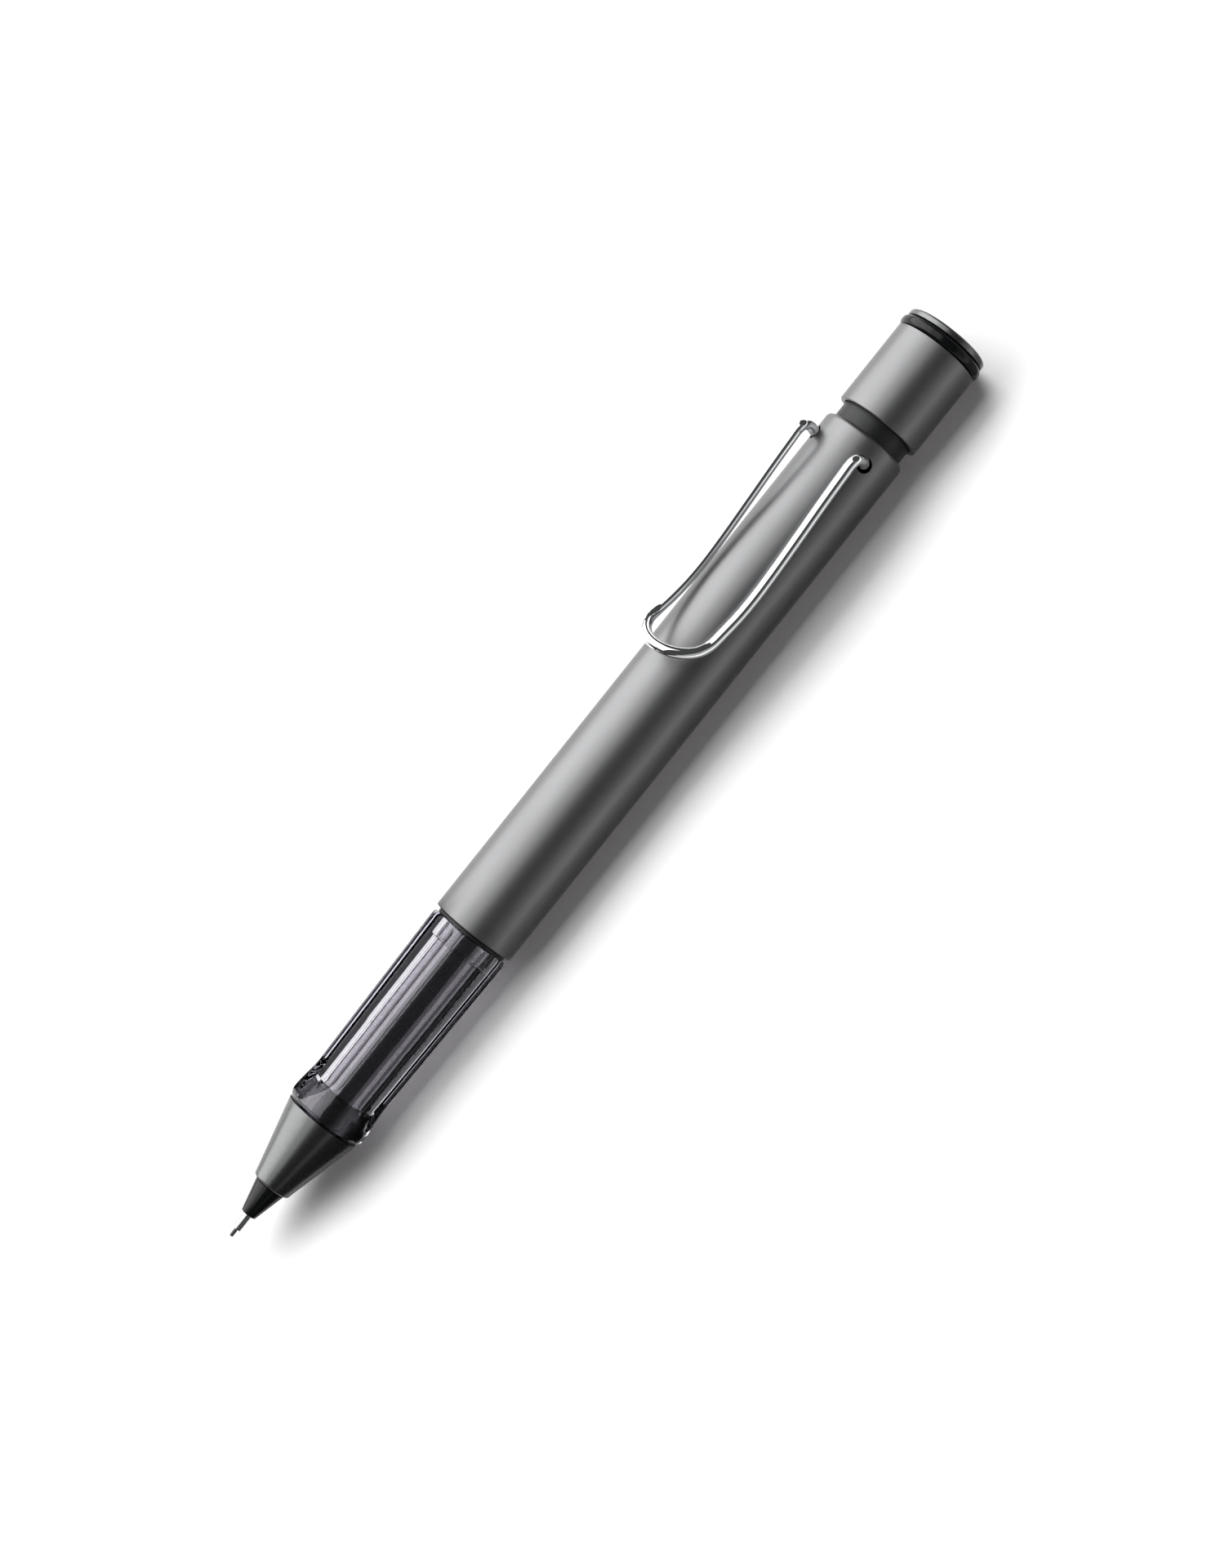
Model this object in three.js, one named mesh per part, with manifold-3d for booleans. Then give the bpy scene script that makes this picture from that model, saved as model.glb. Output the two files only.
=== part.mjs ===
// Push-button mechanical pencil for 0.5 mm lead, lying on its side.
// Lengths are in millimetres. "Stations" are distances along the pencil's axis from the lead's front end.
// The axis runs along +X towards the cap, and the clip is on top (+Z).
import * as THREE from 'three';
import { mergeVertices } from 'three/addons/utils/BufferGeometryUtils.js';
import Module from 'manifold-3d';

const wasm = await Module();
wasm.setup();

// ---- driving dimensions ----
const overallLength = 140.85;
const outerSides = 32;   // facets round the outer shells
const innerSides = 20;   // facets round the mechanism
const fineSides = 10;    // facets round leads and needle

const barrel = {
  front: 47.6, rear: 124.6, frontRadius: 5.66, rearRadius: 5.7, bore: 5.0, frontEdge: 0.2, shoulder: 0.75,
};
const neck = { front: 108, rear: 128, radius: 4.9, bore: 3.5 };
const coupler = {
  front: 44.8, flangeFront: 47.1, flangeRear: 47.5, rear: 58,
  spigotRadius: 2.95, flangeRadius: 5.0, threadRadius: 4.88, bore: 2.7, rearBore: 3.6,
  rearBoreStart: 49.1, rearBoreFull: 49.5,
};
const grip = {
  front: 18.5, flare: 19.3, waist: 23.8, rear: 47.0,
  flareRadius: 5.43, waistRadius: 5.06, rearRadius: 5.52, edge: 0.35,
  bore: 2.67, frontBore: 3.5, frontBoreEnd: 22.1, rearBore: 3.05, rearBoreStart: 44.5, rings: 12,
};
// Two finger flats beside a ridge. Their depth is a share of the round grip's radius, over 1 where they run out.
const flats = {
  ridgeAngle: 29, spread: 54, depth: 0.875, frontDepth: 1.02, hollow: 0.012, runOut: 23.4, halfWidth: 29,
  reach: 80,
};
const nose = {
  front: 7.9, shoulder: 8.6, rear: 18.2, tipRadius: 2.15, shoulderRadius: 2.7, rearRadius: 5.12,
  spigotRadius: 3.4, spigotRear: 21.8, bore: 1.98, rearBore: 2.65, rearBoreStart: 14.3, frontEdge: 0.3,
  frontEdgeRadius: 2.58,
};
const tip = {
  front: 3.4, rear: 7.75, frontRadius: 1.04, rearRadius: 2.09, shankRadius: 1.9, shankRear: 17.2,
  pipeBore: 0.62, retainerFront: 9.1, retainerBore: 1.0, chamberFront: 10.9, chamberRadius: 1.65, edge: 0.2,
};
const pipe = { front: 1.1, rear: 9.0, radius: 0.575, bore: 0.33 };
const lead = { front: 0, rear: 60, radius: 0.25 };
const retainer = { front: 9.2, rear: 10.8, radius: 0.93, bore: 0.32 };
const mechanism = {
  front: 14.5, seat: 17.3, step: 31.3, rear: 48.5, frontRadius: 2.48, rearRadius: 2.58, frontBore: 2.0,
  bore: 2.25,
};
const clutchSeat = { front: 17.4, rear: 19.9, radius: 2.17, bore: 1.1 };
const clutchRing = { front: 15.2, rear: 17.1, radius: 1.56, bore: 1.3 };
const jaw = {
  front: 14.7, headRear: 15.5, taperRear: 16.7, rear: 21, headRadius: 1.2, stemRadius: 0.85, bore: 0.31,
  kerf: 0.08, count: 3,
};
const stem = { front: 21.15, rear: 30.8, radius: 0.85, bore: 0.36 };
const bush = {
  front: 23, shoulderFront: 33.8, shoulderRear: 36.8, rear: 40, spigotRadius: 1.25, shoulderRadius: 2.1,
  tankSpigotRadius: 1.6, stemBore: 0.95, stemBoreRear: 31, bore: 0.5, funnelRadius: 1.4,
};
const spring = { front: 20.05, rear: 33.65, meanRadius: 1.78, wireRadius: 0.17, turns: 9, wireSides: 6 };
const tank = { front: 37, rear: 120, radius: 2.1, bore: 1.7 };
const socket = {
  front: 116, wall: 121, pocket: 122, rear: 132.4, radius: 3.3, edge: 0.3, tankBore: 2.2, bore: 2.7,
};
const spareLead = { front: 45, rear: 105, radius: 0.25, offset: 0.9, count: 2 };
const eraserHolder = {
  front: 122.3, cupFront: 127, flangeFront: 132.6, rear: 133.3, radius: 2.6, flangeRadius: 3.2, bore: 2.25,
  needleBore: 0.25,
};
const eraser = { front: 127.1, rear: 136.5, radius: 2.15, edge: 0.4 };
const needle = { front: 110, rear: 126.6, radius: 0.2, point: 1.2 };
const cap = {
  sleeveFront: 126.8, sleeveRear: 138.35, sleeveRadius: 5.7, sleeveBore: 5.0, sleeveEdge: 0.15,
  coreFront: 130.3, coreRadius: 4.9, coreBore: 3.42, boreEnd: 136.9,
  beadFront: 138.42, beadRear: 139.86, beadRadius: 5.95, beadEdge: 0.4, beadSide: 0.45, recess: 139.55,
  recessRadius: 4.6, discFront: 139.95, discRadius: 5.62, discFrontEdge: 0.12, discEdge: 0.4,
  discSpigotFront: 139.62, discSpigotRadius: 4.5,
};
const clip = {
  wireRadius: 0.73, halfWidth: 4.385, holeStation: 121.35, holeAngle: 46.5, holeRadius: 1.0,
  drillFrom: 3.95, drillTo: 6.7, drillSides: 16, loopStation: 92.5, loopLength: 3.85, loopHeight: 6.5,
  loopRise: 3.1, loopCurl: 1.3, loopPoints: 4, wireSides: 8, steps: 96,
};
// Front view of the wire's end, from inside the hole to the top bend: distance to the side and height over the axis.
const clipHook = [[3.12, 2.96], [3.627, 3.442], [4.22, 4.6], [4.385, 5.5]];
// Side view of a clip leg, from its top bend to the loop: station along the pencil and height above the axis.
const clipLeg = [
  [120.9, 6.75], [120.0, 7.25], [118.4, 7.15], [114.5, 6.75], [109.5, 6.1],
  [104.0, 5.45], [100.5, 5.22], [97.8, 5.32], [95.0, 5.8],
];

const axisHeight = cap.beadRadius * Math.cos(Math.PI / outerSides);
const radians = THREE.MathUtils.degToRad;

// ---- materials ----
const material = (color, roughness, metalness, extra = {}) =>
  new THREE.MeshStandardMaterial({ color, roughness, metalness, ...extra });
const satinAluminium = material(0x8f9092, 0.42, 0.9);
const chrome = material(0xdfe2e6, 0.08, 1);
const blackPlastic = material(0x17181a, 0.4, 0);
const glossBlack = material(0x0c0d0e, 0.15, 0);
const darkMetal = material(0x55585a, 0.4, 0.8);
const smokedPlastic = material(0x3c3b44, 0.08, 0, { transparent: true, opacity: 0.5 });
const greyPlastic = material(0x707274, 0.4, 0);
const steel = material(0xb8bbbe, 0.25, 1);
const brass = material(0xc2a04e, 0.3, 1);
const rubber = material(0x222222, 0.9, 0);
const clearPlastic = material(0xc9ccce, 0.3, 0);
const eraserWhite = material(0xeeeeea, 0.9, 0);
const graphite = material(0x35363a, 0.45, 0.2);

// ---- solids ----
// Points on an arc about (station, radius), angles in degrees from +X towards the outside.
function arc(station, radius, size, from, to, steps) {
  return Array.from({ length: steps + 1 }, (_, i) => {
    const angle = radians(from + ((to - from) * i) / steps);
    return [station + size * Math.cos(angle), radius + size * Math.sin(angle)];
  });
}

// Solid of revolution about the pencil's axis. The outline lists [station, radius] along the outside from front
// to rear, then along the bore from rear to front. It either starts and ends on the axis or closes on itself.
function turned(outline, sides) {
  const points = outline.map(([station, radius]) => new THREE.Vector2(radius, station));
  const startsOnAxis = outline[0][1] === 0;
  if (!startsOnAxis) points.push(points[0].clone());
  return new THREE.LatheGeometry(points, sides, Math.PI / sides).rotateZ(-Math.PI / 2);
}

function tube(front, rear, radius, bore, sides) {
  return turned([[front, radius], [rear, radius], [rear, bore], [front, bore]], sides);
}

function rod(front, rear, radius, sides) {
  return turned([[front, 0], [front, radius], [rear, radius], [rear, 0]], sides);
}

function roundSection(radius, sides) {
  const shape = new THREE.Shape();
  for (let i = 0; i < sides; i += 1) {
    const angle = (2 * Math.PI * i) / sides;
    const move = i === 0 ? 'moveTo' : 'lineTo';
    shape[move](radius * Math.cos(angle), radius * Math.sin(angle));
  }
  return shape;
}

function wire(path, radius, sides, steps) {
  const settings = { extrudePath: path, steps, bevelEnabled: false };
  return new THREE.ExtrudeGeometry(roundSection(radius, sides), settings);
}

function toManifold(geometry) {
  const bare = geometry.clone();
  bare.deleteAttribute('normal');
  bare.deleteAttribute('uv');
  const merged = mergeVertices(bare, 1e-4);
  const index = Array.from(merged.index.array);
  const triVerts = [];
  for (let i = 0; i < index.length; i += 3) {
    const [a, b, c] = index.slice(i, i + 3);
    if (a !== b && b !== c && c !== a) triVerts.push(a, b, c);
  }
  const vertProperties = new Float32Array(merged.attributes.position.array);
  return new wasm.Manifold(new wasm.Mesh({ numProp: 3, vertProperties, triVerts: new Uint32Array(triVerts) }));
}

function fromManifold(solid) {
  const mesh = solid.getMesh();
  const geometry = new THREE.BufferGeometry();
  geometry.setAttribute('position', new THREE.BufferAttribute(mesh.vertProperties, 3));
  geometry.setIndex(new THREE.BufferAttribute(mesh.triVerts, 1));
  geometry.computeVertexNormals();
  return geometry;
}

const cut = (geometry, ...cutters) =>
  fromManifold(cutters.reduce((solid, cutter) => solid.subtract(toManifold(cutter)), toManifold(geometry)));

// Angles round the pencil run from the top (+Z) towards -Y.
const radial = (angle) => new THREE.Vector3(0, -Math.sin(radians(angle)), Math.cos(radians(angle)));

// ---- holder: what stays still ----
// Drills for the two clip holes. Each starts inside the wall of the neck bush and runs out through the barrel.
function clipDrills() {
  const { holeStation, holeAngle, holeRadius, drillFrom, drillTo, drillSides } = clip;
  return [-1, 1].map((side) => {
    const outwards = radial(side * holeAngle);
    const drill = new THREE.CylinderGeometry(holeRadius, holeRadius, drillTo - drillFrom, drillSides);
    const turn = new THREE.Quaternion().setFromUnitVectors(new THREE.Vector3(0, 1, 0), outwards);
    const middle = outwards.clone().multiplyScalar((drillFrom + drillTo) / 2).setX(holeStation);
    return drill.applyQuaternion(turn).translate(middle.x, middle.y, middle.z);
  });
}

function barrelTube() {
  const { front, rear, frontRadius, rearRadius, bore, frontEdge, shoulder } = barrel;
  return cut(turned([
    ...arc(front + frontEdge, frontRadius - frontEdge, frontEdge, 180, 90, 2),
    ...arc(rear - shoulder, rearRadius - shoulder, shoulder, 90, 10, 4), [rear, bore], [front, bore],
  ], outerSides), ...clipDrills());
}

function neckBush() {
  const { front, rear, radius, bore } = neck;
  return cut(tube(front, rear, radius, bore, outerSides), ...clipDrills());
}

function sectionCoupler() {
  const c = coupler;
  return turned([
    [c.front, c.spigotRadius], [c.flangeFront, c.spigotRadius], [c.flangeFront, c.flangeRadius],
    [c.flangeRear, c.flangeRadius], [c.flangeRear, c.threadRadius], [c.rear, c.threadRadius],
    [c.rear, c.rearBore], [c.rearBoreFull, c.rearBore], [c.rearBoreStart, c.bore], [c.front, c.bore],
  ], outerSides);
}

// Outer radius of the round grip: widest at the front flare, narrowest at the waist.
function gripRadius(station) {
  if (station > grip.waist) {
    const along = (station - grip.waist) / (grip.rear - grip.waist);
    return THREE.MathUtils.lerp(grip.waistRadius, grip.rearRadius, along);
  }
  const towardsFlare = THREE.MathUtils.smoothstep(grip.waist + grip.flare - station, grip.flare, grip.waist);
  return THREE.MathUtils.lerp(grip.waistRadius, grip.flareRadius, towardsFlare);
}

// Distance of the surface from the axis where a finger flat cuts the round grip.
function flatLimit(station, angle) {
  const runOut = THREE.MathUtils.smoothstep(flats.runOut + grip.front - station, grip.front, flats.runOut);
  const share = THREE.MathUtils.lerp(flats.depth, flats.frontDepth, runOut);
  const depth = share * gripRadius(Math.max(station, grip.flare));
  return [-1, 1].reduce((limit, side) => {
    const middle = flats.ridgeAngle + side * flats.spread;
    const off = THREE.MathUtils.euclideanModulo(angle - middle + 180, 360) - 180;
    if (Math.abs(off) > flats.reach) return limit;
    const hollow = 1 - flats.hollow * Math.max(0, 1 - (off / flats.halfWidth) ** 2);
    return Math.min(limit, (depth * hollow) / Math.cos(radians(off)));
  }, Infinity);
}

function gripSection() {
  const outside = Array.from({ length: grip.rings + 1 }, (_, i) => {
    const station = THREE.MathUtils.lerp(grip.flare, grip.rear - grip.edge, (i / grip.rings) ** 1.5);
    return [station, gripRadius(station)];
  });
  const geometry = turned([
    [grip.front, grip.flareRadius - grip.edge], ...outside, [grip.rear, grip.rearRadius - grip.edge],
    [grip.rear, grip.rearBore], [grip.rearBoreStart, grip.rearBore], [grip.rearBoreStart, grip.bore],
    [grip.frontBoreEnd, grip.bore], [grip.frontBoreEnd, grip.frontBore], [grip.front, grip.frontBore],
  ], outerSides);
  const { position } = geometry.attributes;
  for (let i = 0; i < position.count; i += 1) {
    const radius = Math.hypot(position.getY(i), position.getZ(i));
    const angle = THREE.MathUtils.radToDeg(Math.atan2(-position.getY(i), position.getZ(i)));
    const scale = Math.min(1, flatLimit(position.getX(i), angle) / radius);
    position.setY(i, position.getY(i) * scale);
    position.setZ(i, position.getZ(i) * scale);
  }
  return geometry;
}

function noseCone() {
  const n = nose;
  return turned([
    [n.front, n.tipRadius], [n.front + n.frontEdge, n.frontEdgeRadius], [n.shoulder, n.shoulderRadius],
    [n.rear, n.rearRadius], [n.rear, n.spigotRadius], [n.spigotRear, n.spigotRadius],
    [n.spigotRear, n.rearBore], [n.rearBoreStart, n.rearBore], [n.rearBoreStart, n.bore], [n.front, n.bore],
  ], outerSides);
}

function tipCone() {
  const t = tip;
  return turned([
    ...arc(t.front + t.edge, t.frontRadius - t.edge, t.edge, 180, 105, 2), [t.rear, t.rearRadius],
    [t.rear, t.shankRadius], [t.shankRear, t.shankRadius], [t.shankRear, t.chamberRadius],
    [t.chamberFront, t.chamberRadius], [t.chamberFront, t.retainerBore], [t.retainerFront, t.retainerBore],
    [t.retainerFront, t.pipeBore], [t.front, t.pipeBore],
  ], innerSides);
}

function leadPipe() {
  return tube(pipe.front, pipe.rear, pipe.radius, pipe.bore, fineSides);
}

function leadRetainer() {
  return tube(retainer.front, retainer.rear, retainer.radius, retainer.bore, innerSides);
}

function clutchSeatRing() {
  return tube(clutchSeat.front, clutchSeat.rear, clutchSeat.radius, clutchSeat.bore, innerSides);
}

function mechanismTube() {
  const m = mechanism;
  return turned([
    [m.front, m.frontRadius], [m.step, m.frontRadius], [m.step, m.rearRadius], [m.rear, m.rearRadius],
    [m.rear, m.bore], [m.seat, m.bore], [m.seat, m.frontBore], [m.front, m.frontBore],
  ], innerSides);
}

// ---- push mechanism ----
function clutchRingSleeve() {
  return tube(clutchRing.front, clutchRing.rear, clutchRing.radius, clutchRing.bore, innerSides);
}

function jawOutline() {
  const j = jaw;
  return [
    [j.front, j.headRadius], [j.headRear, j.headRadius], [j.taperRear, j.stemRadius], [j.rear, j.stemRadius],
    [j.rear, j.bore], [j.front, j.bore],
  ];
}

// One third of the slotted collet, cut out of the turned shape by a wedge.
function colletJaw(index) {
  const reach = 3;
  const margin = 1;
  const halfAngle = radians(180 / jaw.count);
  const wedge = new THREE.Shape();
  wedge.moveTo(jaw.kerf, 0);
  wedge.lineTo(jaw.kerf + reach * Math.cos(halfAngle), reach * Math.sin(halfAngle));
  wedge.lineTo(jaw.kerf + reach * Math.cos(halfAngle), -reach * Math.sin(halfAngle));
  const length = jaw.rear - jaw.front + 2 * margin;
  const prism = new THREE.ExtrudeGeometry(wedge, { depth: length, bevelEnabled: false });
  const along = new THREE.Vector3(1, 0, 0);
  const outwards = radial((360 * index) / jaw.count);
  prism.applyMatrix4(new THREE.Matrix4().makeBasis(outwards, along.clone().cross(outwards), along));
  prism.translate(jaw.front - margin, 0, 0);
  return fromManifold(toManifold(turned(jawOutline(), innerSides)).intersect(toManifold(prism)));
}

class Helix extends THREE.Curve {
  getPoint(t) {
    const angle = 2 * Math.PI * spring.turns * t;
    const from = spring.front + spring.wireRadius;
    const to = spring.rear - spring.wireRadius;
    // The end turns lie flat, and the pitch opens between them.
    const station = THREE.MathUtils.lerp(from, to, 0.75 * t + 0.25 * THREE.MathUtils.smoothstep(t, 0, 1));
    return new THREE.Vector3(station, spring.meanRadius * Math.cos(angle), spring.meanRadius * Math.sin(angle));
  }
}

function connectingBush() {
  const b = bush;
  return turned([
    [b.front, b.spigotRadius], [b.shoulderFront, b.spigotRadius], [b.shoulderFront, b.shoulderRadius],
    [b.shoulderRear, b.shoulderRadius], [b.shoulderRear, b.tankSpigotRadius], [b.rear, b.tankSpigotRadius],
    [b.rear, b.funnelRadius], [b.shoulderRear, b.bore], [b.stemBoreRear, b.bore],
    [b.stemBoreRear, b.stemBore], [b.front, b.stemBore],
  ], innerSides);
}

function tankSocket() {
  const s = socket;
  return turned([
    [s.front, s.radius - s.edge], [s.front + s.edge, s.radius], [s.rear, s.radius], [s.rear, s.bore],
    [s.pocket, s.bore], [s.pocket, tank.bore], [s.wall, tank.bore], [s.wall, s.tankBore], [s.front, s.tankBore],
  ], innerSides);
}

function spareLeadAt(index) {
  const side = (2 * spareLead.offset * index) / (spareLead.count - 1) - spareLead.offset;
  return rod(spareLead.front, spareLead.rear, spareLead.radius, fineSides).translate(0, side, 0);
}

// ---- eraser and cap ----
function eraserHolderShell() {
  const e = eraserHolder;
  return turned([
    [e.front, e.radius], [e.flangeFront, e.radius], [e.flangeFront, e.flangeRadius], [e.rear, e.flangeRadius],
    [e.rear, e.bore], [e.cupFront, e.bore], [e.cupFront, e.needleBore], [e.front, e.needleBore],
  ], innerSides);
}

function eraserStick() {
  const { front, rear, radius, edge } = eraser;
  return turned([
    [front, 0], [front, radius], ...arc(rear - edge, radius - edge, edge, 90, 0, 3), [rear, 0],
  ], innerSides);
}

function cleaningNeedle() {
  const { front, rear, radius, point } = needle;
  return turned([[front, 0], [front + point, radius], [rear, radius], [rear, 0]], fineSides);
}

function capSleeve() {
  const c = cap;
  return turned([
    ...arc(c.sleeveFront + c.sleeveEdge, c.sleeveRadius - c.sleeveEdge, c.sleeveEdge, 180, 90, 2),
    [c.sleeveRear, c.sleeveRadius], [c.sleeveRear, c.sleeveBore], [c.sleeveFront, c.sleeveBore],
  ], outerSides);
}

function capCore() {
  const c = cap;
  const bead = arc((c.beadFront + c.beadRear) / 2, c.beadRadius - c.beadEdge, c.beadEdge, 150, 30, 4);
  return turned([
    [c.boreEnd, 0], [c.boreEnd, c.coreBore], [c.coreFront, c.coreBore], [c.coreFront, c.coreRadius],
    [c.beadFront, c.coreRadius], [c.beadFront, c.beadRadius - c.beadSide], ...bead,
    [c.beadRear, c.beadRadius - c.beadSide], [c.beadRear, c.recessRadius], [c.recess, c.recessRadius],
    [c.recess, 0],
  ], outerSides);
}

function capEndDisc() {
  const c = cap;
  return turned([
    [c.discSpigotFront, 0], [c.discSpigotFront, c.discSpigotRadius], [c.discFront, c.discSpigotRadius],
    [c.discFront, c.discRadius - c.discFrontEdge], [c.discFront + c.discFrontEdge, c.discRadius],
    ...arc(overallLength - c.discEdge, c.discRadius - c.discEdge, c.discEdge, 90, 0, 3), [overallLength, 0],
  ], outerSides);
}

// ---- clip ----
function clipPath() {
  const half = clipHook.map(([side, height]) => new THREE.Vector3(clip.holeStation, -side, height));
  half.push(...clipLeg.map(([station, height]) => new THREE.Vector3(station, -clip.halfWidth, height)));
  for (let i = 0; i < clip.loopPoints; i += 1) {
    const angle = radians((90 * i) / clip.loopPoints);
    half.push(new THREE.Vector3(
      clip.loopStation - clip.loopLength * Math.sin(angle),
      -clip.halfWidth * Math.cos(angle),
      clip.loopHeight + clip.loopRise * Math.sin(angle) ** clip.loopCurl,
    ));
  }
  const front = new THREE.Vector3(clip.loopStation - clip.loopLength, 0, clip.loopHeight + clip.loopRise);
  const other = half.map((point) => point.clone().setY(-point.y)).reverse();
  return new THREE.CatmullRomCurve3([...half, front, ...other], false, 'centripetal');
}

// ---- assembly ----
function mesh(name, geometry, finish) {
  const part = new THREE.Mesh(geometry, finish);
  part.name = name;
  return part;
}

function groupOf(...members) {
  const group = new THREE.Group();
  group.add(...members);
  return group;
}

const holder = groupOf(
  mesh('barrel_tube', barrelTube(), satinAluminium),
  mesh('neck_bush', neckBush(), blackPlastic),
  mesh('section_coupler', sectionCoupler(), steel),
  mesh('grip_section', gripSection(), smokedPlastic),
  mesh('nose_cone', noseCone(), darkMetal),
  mesh('tip_cone', tipCone(), glossBlack),
  mesh('lead_pipe', leadPipe(), steel),
  mesh('lead_retainer', leadRetainer(), rubber),
  mesh('mechanism_tube', mechanismTube(), steel),
  mesh('clutch_seat', clutchSeatRing(), brass),
  mesh('return_spring', wire(new Helix(), spring.wireRadius, spring.wireSides, spring.turns * 10), steel),
);
const pushMechanism = groupOf(
  mesh('clutch_ring', clutchRingSleeve(), brass),
  ...Array.from({ length: jaw.count }, (_, i) => mesh(`collet_jaw_${i + 1}`, colletJaw(i), brass)),
  mesh('collet_stem', tube(stem.front, stem.rear, stem.radius, stem.bore, innerSides), brass),
  mesh('connecting_bush', connectingBush(), blackPlastic),
  mesh('lead_tank', tube(tank.front, tank.rear, tank.radius, tank.bore, innerSides), clearPlastic),
  mesh('tank_socket', tankSocket(), blackPlastic),
  ...Array.from({ length: spareLead.count }, (_, i) => mesh(`spare_lead_${i + 1}`, spareLeadAt(i), graphite)),
  mesh('lead', rod(lead.front, lead.rear, lead.radius, fineSides), graphite),
);
const capGroup = groupOf(
  mesh('cap_sleeve', capSleeve(), satinAluminium),
  mesh('cap_core', capCore(), blackPlastic),
  mesh('cap_end_disc', capEndDisc(), greyPlastic),
);
const eraserGroup = groupOf(
  mesh('eraser_holder', eraserHolderShell(), steel),
  mesh('eraser', eraserStick(), eraserWhite),
  mesh('cleaning_needle', cleaningNeedle(), steel),
);
const clipWire = mesh('clip_wire', wire(clipPath(), clip.wireRadius, clip.wireSides, clip.steps), chrome);

const pencil = groupOf(holder, pushMechanism, capGroup, eraserGroup, clipWire);
pencil.position.set(-overallLength / 2, 0, axisHeight);
const group = groupOf(pencil);

export default group;
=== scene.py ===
import math

import bmesh
import bpy
from mathutils import Matrix, Vector


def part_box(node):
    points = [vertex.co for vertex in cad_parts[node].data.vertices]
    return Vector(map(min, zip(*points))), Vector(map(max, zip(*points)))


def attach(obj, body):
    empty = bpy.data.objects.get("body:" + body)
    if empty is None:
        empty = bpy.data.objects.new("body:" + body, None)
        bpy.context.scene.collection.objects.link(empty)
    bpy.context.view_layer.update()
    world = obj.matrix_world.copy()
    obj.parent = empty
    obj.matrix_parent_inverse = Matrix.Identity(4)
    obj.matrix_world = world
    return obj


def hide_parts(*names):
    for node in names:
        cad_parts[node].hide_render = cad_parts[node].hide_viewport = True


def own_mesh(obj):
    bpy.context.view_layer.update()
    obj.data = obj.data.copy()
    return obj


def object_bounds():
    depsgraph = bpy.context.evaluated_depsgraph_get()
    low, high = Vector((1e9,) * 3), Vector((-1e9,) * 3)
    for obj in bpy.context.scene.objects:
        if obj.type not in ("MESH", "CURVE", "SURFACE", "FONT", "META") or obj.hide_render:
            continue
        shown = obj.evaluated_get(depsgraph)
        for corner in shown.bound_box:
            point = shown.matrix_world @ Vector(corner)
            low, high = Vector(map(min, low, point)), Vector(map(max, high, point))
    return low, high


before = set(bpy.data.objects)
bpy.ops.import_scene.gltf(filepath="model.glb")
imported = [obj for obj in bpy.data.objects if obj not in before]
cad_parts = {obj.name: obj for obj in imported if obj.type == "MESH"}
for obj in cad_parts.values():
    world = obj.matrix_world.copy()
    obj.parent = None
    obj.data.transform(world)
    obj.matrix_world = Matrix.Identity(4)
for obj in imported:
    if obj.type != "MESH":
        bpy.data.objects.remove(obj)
cad_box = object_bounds()

# Lengths below are in millimetres. Stations are measured along the pencil's axis from the lead's front end,
# radii from the axis, and angles round the axis from the top (+Z) towards -Y.
MM = 0.001
FRONT_X = cad_box[0].x
barrel_low, barrel_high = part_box("barrel_tube")
AXIS_Z = (barrel_low.z + barrel_high.z) / 2
SHELL_SIDES = 144
INNER_SIDES = 72
GRIP_SIDES = 192
LEAD_SIDES = 32
WIRE_SIDES = 24
SPRING_SIDES = 12
SHARP = math.radians(34)     # edges between faces that differ by more than this stay sharp
ON_AXIS = 1e-6               # a smaller radius counts as a point on the axis


# ---- geometry helpers ----
def at(station, radius, angle=0.0):
    """Point of the row frame, in metres, at a station, radius and angle."""
    turn = math.radians(angle)
    return Vector((
        FRONT_X + station * MM,
        -radius * MM * math.sin(turn),
        AXIS_Z + radius * MM * math.cos(turn),
    ))


def span(node):
    """Front station and rear station of a CAD node."""
    low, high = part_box(node)
    return (low.x - FRONT_X) / MM, (high.x - FRONT_X) / MM


def lerp(a, b, share):
    return a + (b - a) * share


def smoothstep(value, low, high):
    share = min(1.0, max(0.0, (value - low) / (high - low)))
    return share * share * (3 - 2 * share)


def rounded(corners, steps=5):
    """Outline of (station, radius) points from corners (station, radius, fillet).

    A fillet of 0 stays sharp. The outline closes on itself, unless it starts and ends on the axis."""
    outline = []
    closed = corners[0][1] > 0
    for i, (station, radius, fillet) in enumerate(corners):
        here = Vector((station, radius))
        ends = not closed and i in (0, len(corners) - 1)
        if fillet == 0 or ends:
            outline.append(here)
            continue
        before = Vector(corners[i - 1][:2]) - here
        after = Vector(corners[(i + 1) % len(corners)][:2]) - here
        half = before.angle(after) / 2
        reach = fillet / math.tan(half)
        before.normalize()
        after.normalize()
        first = here + before * reach
        last = here + after * reach
        centre = here + (before + after).normalized() * fillet / math.sin(half)
        for k in range(steps + 1):
            chord = first.lerp(last, k / steps)
            outline.append(centre + (chord - centre).normalized() * fillet)
    return [tuple(point) for point in outline]


def new_piece(name, mesh, body, material, slot, *nodes):
    """Shows a finished mesh: it rides on a body, takes its material and stands for the CAD nodes."""
    piece = bpy.data.objects.new(name, mesh)
    bpy.context.scene.collection.objects.link(piece)
    mesh.materials.clear()
    mesh.materials.append(material)
    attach(piece, body)
    if nodes:
        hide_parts(*nodes)
    return piece


def repaint(piece, material, chosen):
    """Gives a second material to the faces whose station and radius are chosen."""
    piece.data.materials.append(material)
    for face in piece.data.polygons:
        station = (face.center.x - FRONT_X) / MM
        radius = math.hypot(face.center.y, face.center.z - AXIS_Z) / MM
        if chosen(station, radius):
            face.material_index = 1


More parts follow.
